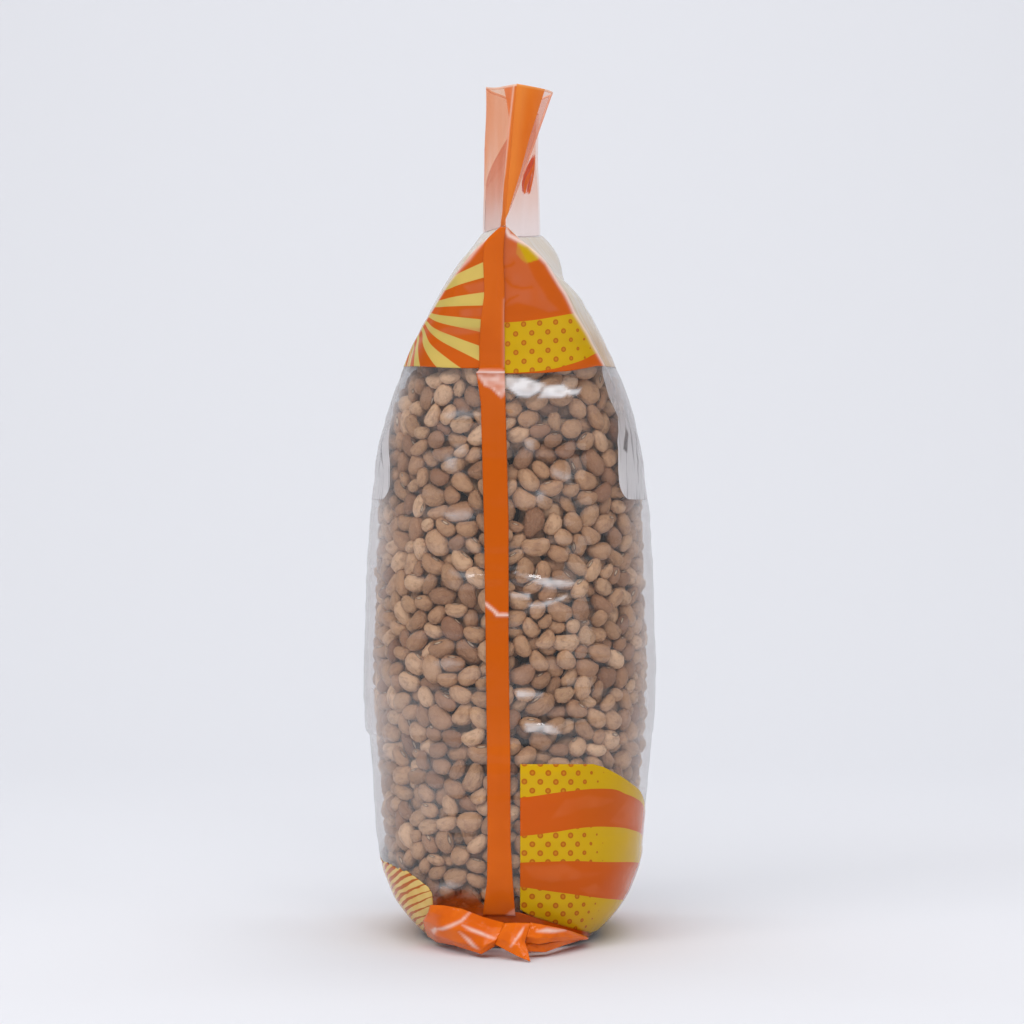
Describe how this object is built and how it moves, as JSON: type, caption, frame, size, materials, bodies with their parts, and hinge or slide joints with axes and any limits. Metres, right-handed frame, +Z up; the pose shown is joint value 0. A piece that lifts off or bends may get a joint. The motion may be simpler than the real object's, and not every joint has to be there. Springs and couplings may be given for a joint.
{
  "type": "bag of dried beans",
  "caption": "Clear film pillow bag filled with tan dried beans, standing upright, with an orange fin seal down one narrow side, a crimped top seal and a loose flared tail.",
  "frame": {"origin": "on the surface that the bag stands on, below the middle of its box", "axes": "+Z up along the bag's height; X along its thickness; -Y towards the narrow side with the long fin seal"},
  "size_m": [0.1096, 0.176, 0.3205],
  "materials": {
    "clear_film": "clear glossy film, slightly wrinkled",
    "printed_film": "glossy printed film, orange and yellow",
    "beans": "smooth dry bean skins, tan"
  },
  "bodies": {
    "root": {"bean_bag": "clear_film"}
  },
  "joints": []
}
